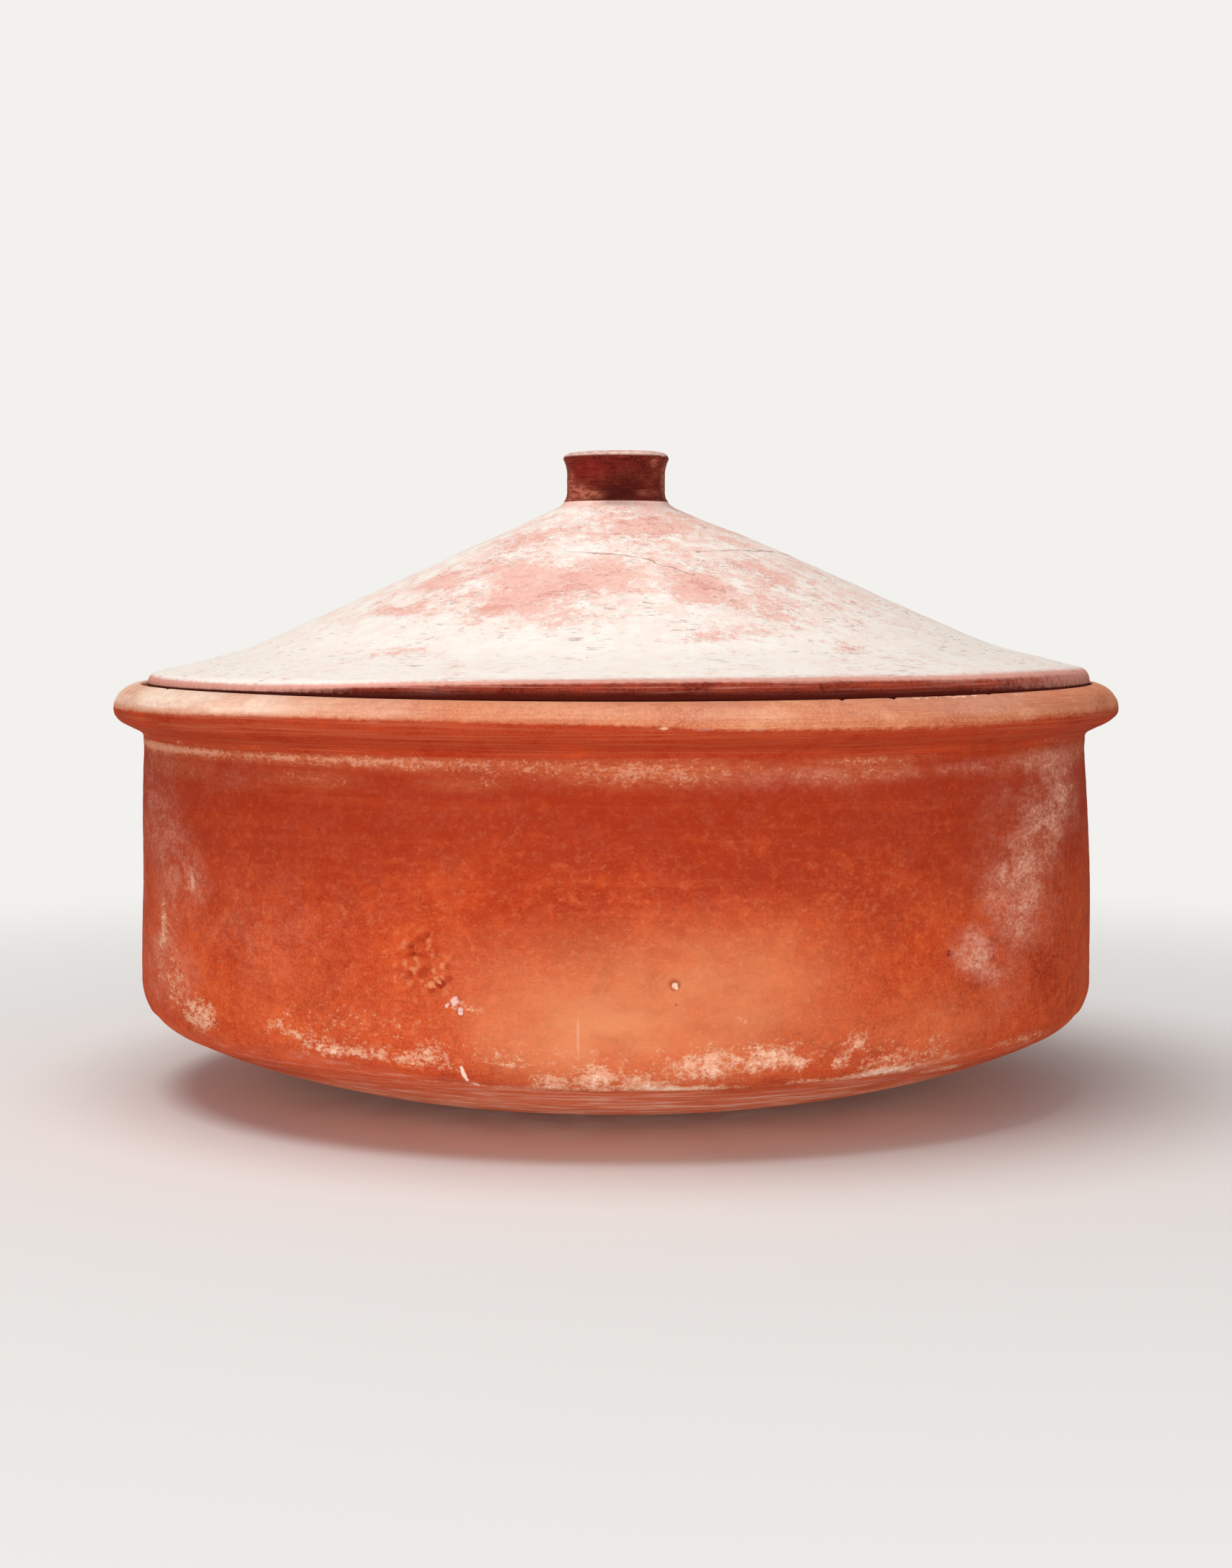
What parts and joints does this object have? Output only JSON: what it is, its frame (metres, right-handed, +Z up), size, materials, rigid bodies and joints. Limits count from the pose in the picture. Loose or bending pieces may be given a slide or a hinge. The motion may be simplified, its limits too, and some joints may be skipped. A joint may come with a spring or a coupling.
{
  "type": "cooking pot",
  "caption": "Wide unglazed earthenware cooking pot with a shallow round base, upright wall, thick everted rim and a loose conical lid with a short waisted knob.",
  "frame": {"origin": "centre of the flat under the base, on the pot's axis", "axes": "+Z up along the axis that the pot was thrown on; the pot is round, so X and Y are alike"},
  "size_m": [0.3004, 0.3004, 0.1902],
  "materials": {
    "bowl_terracotta": "unglazed, matt, with fine throwing lines, pale grits and a faint white bloom",
    "rim_terracotta": "unglazed, matt, smoothed, dusted white on top",
    "lid_terracotta": "unglazed, matt, pink-red clay under a heavy cream-white bloom",
    "knob_terracotta": "unglazed, matt, dark red-brown with throwing lines"
  },
  "bodies": {
    "pot": {"pot_bowl": "bowl_terracotta", "pot_rim": "rim_terracotta"},
    "lid": {"lid_cone": "lid_terracotta", "lid_knob": "knob_terracotta"}
  },
  "joints": [
    {"name": "lid_lift", "type": "slide", "parent": "pot", "child": "lid", "axis": [0, 0, 1], "range_m": [0, 0.15]}
  ]
}
